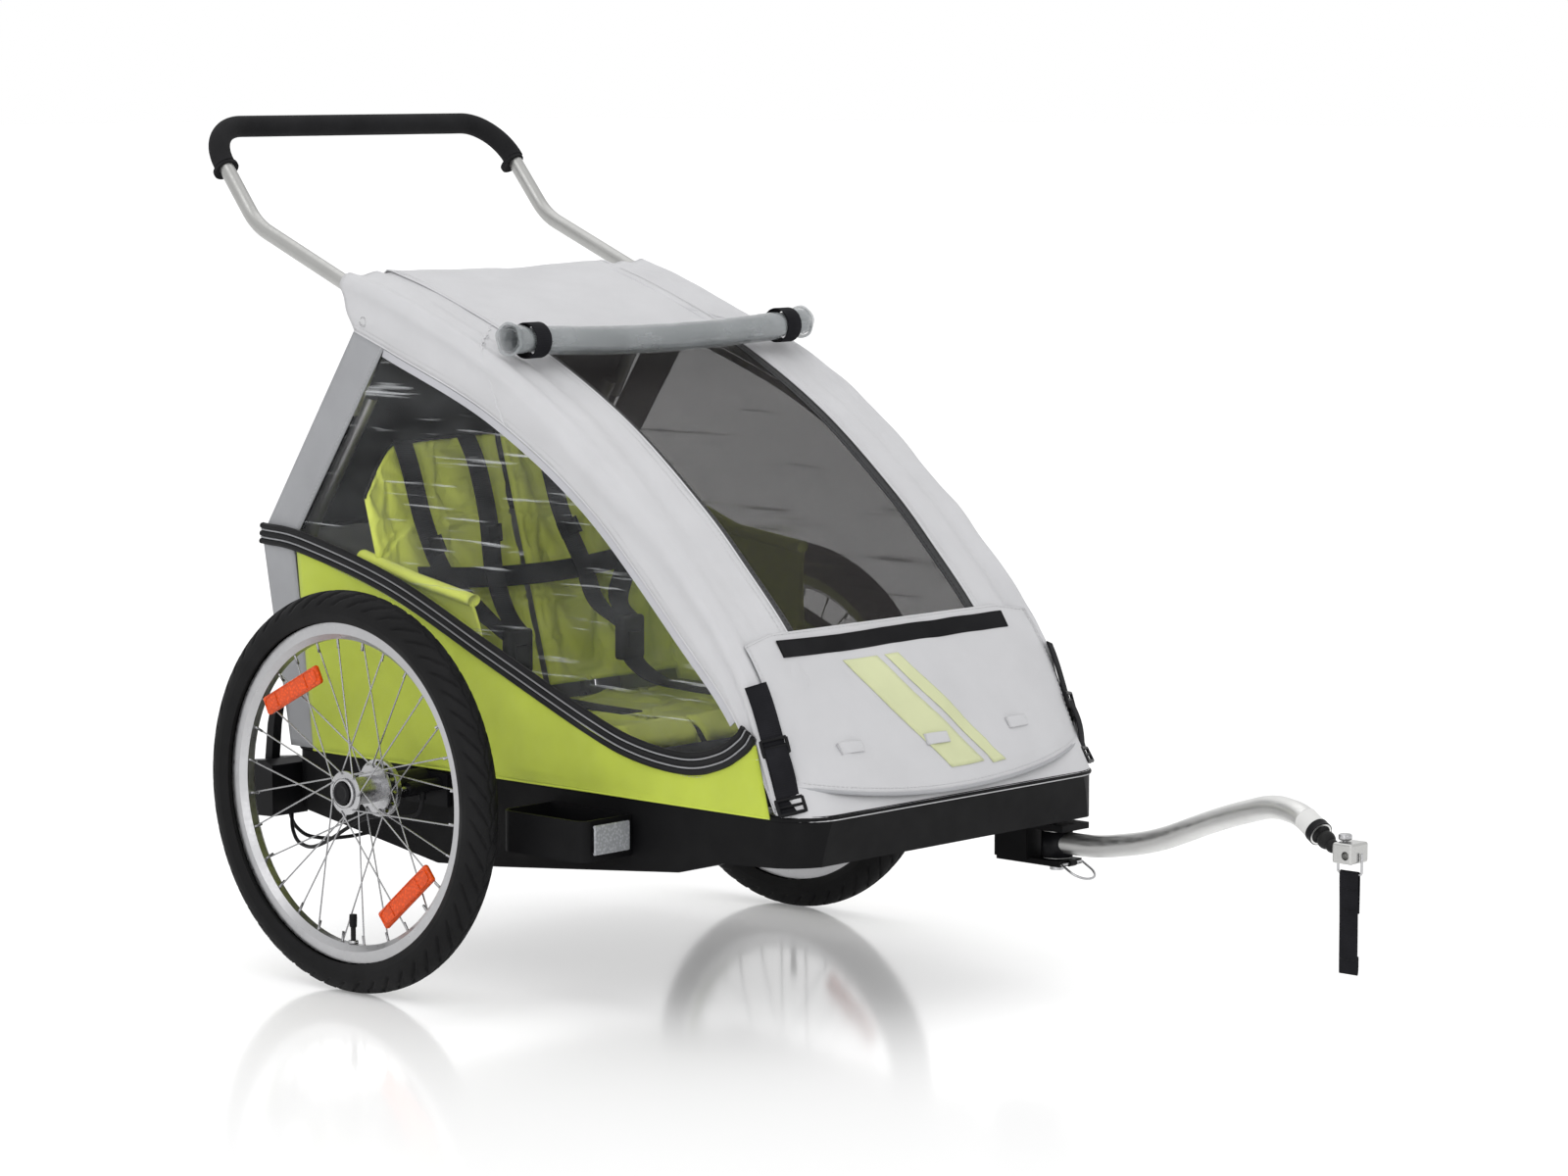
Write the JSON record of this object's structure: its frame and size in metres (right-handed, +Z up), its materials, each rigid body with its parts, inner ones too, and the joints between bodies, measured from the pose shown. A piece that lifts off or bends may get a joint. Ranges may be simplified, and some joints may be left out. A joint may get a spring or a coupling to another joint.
{
  "type": "child bicycle trailer",
  "caption": "Two-wheeled enclosed trailer that carries two seated children behind a bicycle, with a curved drawbar, a flexible coupling, a push bar and a folding frame.",
  "frame": {"origin": "on the ground, midway between the wheels and directly under their axle line", "axes": "+Z up, -Y the direction of travel, +X the trailer's left side, where the drawbar is"},
  "size_m": [0.852, 1.5931, 1.074],
  "materials": {
    "tyre_rubber": "matt, fine tread",
    "tube_rubber": "matt",
    "rim_metal": "satin",
    "hub_metal": "polished",
    "steel": "bright",
    "spoke_steel": "bright",
    "orange_reflector": "prismatic",
    "clear_reflector": "prismatic",
    "black_plastic": "fine grain",
    "lime_fabric": "woven nylon",
    "pale_fabric": "coated woven nylon",
    "grey_fabric": "woven nylon",
    "mesh_fabric": "open insect mesh",
    "black_fabric": "woven nylon",
    "webbing": "ribbed webbing",
    "smoked_film": "clear film",
    "clear_film": "clear film",
    "frame_metal": "anodised",
    "bar_metal": "satin",
    "arm_metal": "brushed",
    "foam": "closed-cell foam",
    "block_metal": "satin",
    "wire": "bright"
  },
  "bodies": {
    "chassis": {"tub": "black_plastic", "base_frame": "frame_metal", "hinge_bolts": "steel", "axle_tube": "frame_metal", "stub_axles": "steel", "wheel_guards": "black_plastic", "front_reflectors": "clear_reflector", "footwell": "black_fabric", "seat_base": "lime_fabric", "seat_back": "lime_fabric", "harness": "webbing", "buckle_housings": "black_plastic", "rear_panel_lower": "grey_fabric", "side_panel_right": "lime_fabric", "side_panel_left": "lime_fabric", "tow_bracket": "black_plastic", "brake_housing": "black_plastic", "brake_cables": "tube_rubber"},
    "wheel_right": {"tyre_right": "tyre_rubber", "inner_tube_right": "tube_rubber", "rim_right": "rim_metal", "hub_right": "hub_metal", "wheel_bearings_right": "steel", "spokes_right": "spoke_steel", "wheel_reflectors_right": "orange_reflector"},
    "hub_button_right": {"hub_button_right": "black_plastic"},
    "brake_pin_right": {"brake_pin_right": "steel"},
    "buckle_button_right": {"buckle_button_right": "black_plastic"},
    "wheel_left": {"tyre_left": "tyre_rubber", "inner_tube_left": "tube_rubber", "rim_left": "rim_metal", "hub_left": "hub_metal", "wheel_bearings_left": "steel", "spokes_left": "spoke_steel", "wheel_reflectors_left": "orange_reflector"},
    "hub_button_left": {"hub_button_left": "black_plastic"},
    "brake_pin_left": {"brake_pin_left": "steel"},
    "buckle_button_left": {"buckle_button_left": "black_plastic"},
    "canopy": {"canopy_frame": "frame_metal", "roof": "pale_fabric", "side_band_right": "pale_fabric", "side_band_left": "pale_fabric", "side_window_right": "smoked_film", "side_window_left": "smoked_film", "rear_panel_upper": "mesh_fabric", "front_window": "mesh_fabric", "front_panel": "pale_fabric", "rolled_cover": "clear_film", "strap_buckles": "black_plastic"},
    "rear_legs": {"rear_frame": "frame_metal"},
    "push_bar": {"push_bar": "bar_metal", "foam_grip": "foam"},
    "tow_arm": {"tow_arm": "arm_metal"},
    "hitch_rubber": {"hitch_elastomer": "tube_rubber"},
    "coupling": {"hitch_block": "block_metal"},
    "hitch_pin": {"hitch_pin": "black_plastic"},
    "bail": {"hitch_bail": "wire"},
    "safety_strap": {"safety_strap": "webbing"},
    "pull_loop": {"pull_loop": "steel"},
    "brake_lever": {"brake_lever": "black_plastic"}
  },
  "joints": [
    {"name": "wheel_right_spin", "type": "hinge", "parent": "chassis", "child": "wheel_right", "pos_m": [-0.4025, 0, 0.25], "axis": [1, 0, 0], "continuous": true},
    {"name": "hub_button_right_press", "type": "slide", "parent": "chassis", "child": "hub_button_right", "axis": [1, 0, 0], "range_m": [0, 0.003], "stiffness_N_per_m": 600},
    {"name": "brake_pin_right_slide", "type": "slide", "parent": "chassis", "child": "brake_pin_right", "axis": [-1, 0, 0], "range_m": [0, 0.0092]},
    {"name": "buckle_button_right_press", "type": "slide", "parent": "chassis", "child": "buckle_button_right", "axis": [0, 1, 0], "range_m": [0, 0.0025], "stiffness_N_per_m": 600},
    {"name": "wheel_left_spin", "type": "hinge", "parent": "chassis", "child": "wheel_left", "pos_m": [0.4025, 0, 0.25], "axis": [1, 0, 0], "continuous": true},
    {"name": "hub_button_left_press", "type": "slide", "parent": "chassis", "child": "hub_button_left", "axis": [-1, 0, 0], "range_m": [0, 0.003], "stiffness_N_per_m": 600},
    {"name": "brake_pin_left_slide", "type": "slide", "parent": "chassis", "child": "brake_pin_left", "axis": [1, 0, 0], "range_m": [0, 0.0092]},
    {"name": "buckle_button_left_press", "type": "slide", "parent": "chassis", "child": "buckle_button_left", "axis": [0, 1, 0], "range_m": [0, 0.0025], "stiffness_N_per_m": 600},
    {"name": "canopy_fold", "type": "hinge", "parent": "chassis", "child": "canopy", "pos_m": [0, -0.592, 0.29], "axis": [-1, 0, 0], "range_deg": [0, 27], "deforming": ["side_window_right", "side_window_left", "rear_panel_upper", "seat_back", "harness", "rear_panel_lower", "side_panel_right", "side_panel_left"]},
    {"name": "rear_fold", "type": "hinge", "parent": "chassis", "child": "rear_legs", "pos_m": [0, 0.205, 0.29], "axis": [1, 0, 0], "range_deg": [0, 70.5]},
    {"name": "push_bar_slide", "type": "slide", "parent": "canopy", "child": "push_bar", "axis": [0, 0.9254, 0.3789], "range_m": [0, 0.085]},
    {"name": "arm_swing", "type": "hinge", "parent": "chassis", "child": "tow_arm", "pos_m": [0.235, -0.6, 0.176], "axis": [0, 0, -1], "range_deg": [0, 55]},
    {"name": "hitch_yaw", "type": "hinge", "parent": "tow_arm", "child": "hitch_rubber", "pos_m": [0.12599, -1.09084, 0.25008], "axis": [0, 0, 1], "range_deg": [-35, 35], "stiffness_Nm_per_rad": 15},
    {"name": "hitch_pitch", "type": "hinge", "parent": "hitch_rubber", "child": "coupling", "pos_m": [0.12257, -1.10205, 0.24447], "axis": [1, 0, 0], "range_deg": [-20, 20], "stiffness_Nm_per_rad": 25},
    {"name": "hitch_pin_pull", "type": "slide", "parent": "coupling", "child": "hitch_pin", "axis": [0, 0, 1], "range_m": [0, 0.02]},
    {"name": "bail_swing", "type": "hinge", "parent": "coupling", "child": "bail", "pos_m": [0.12, -1.129, 0.241], "axis": [0, 1, 0], "range_deg": [-35, 35]},
    {"name": "safety_strap_swing", "type": "hinge", "parent": "bail", "child": "safety_strap", "pos_m": [0.12, -1.129, 0.216], "axis": [0, 1, 0], "range_deg": [-35, 35]},
    {"name": "pull_loop_swing", "type": "hinge", "parent": "chassis", "child": "pull_loop", "pos_m": [0.235, -0.624, 0.1535], "axis": [1, 0, 0], "range_deg": [-10, 62]},
    {"name": "brake_lever_turn", "type": "hinge", "parent": "chassis", "child": "brake_lever", "pos_m": [-0.284, 0.286, 0.236], "axis": [-1, 0, 0], "range_deg": [0, 60]}
  ],
  "couplings": [
    {"joint": "rear_fold", "follows": "canopy_fold", "ratio": 2.5926},
    {"joint": "brake_pin_right_slide", "follows": "brake_lever_turn", "m_per_rad": 0.008594},
    {"joint": "brake_pin_left_slide", "follows": "brake_lever_turn", "m_per_rad": 0.008594}
  ]
}
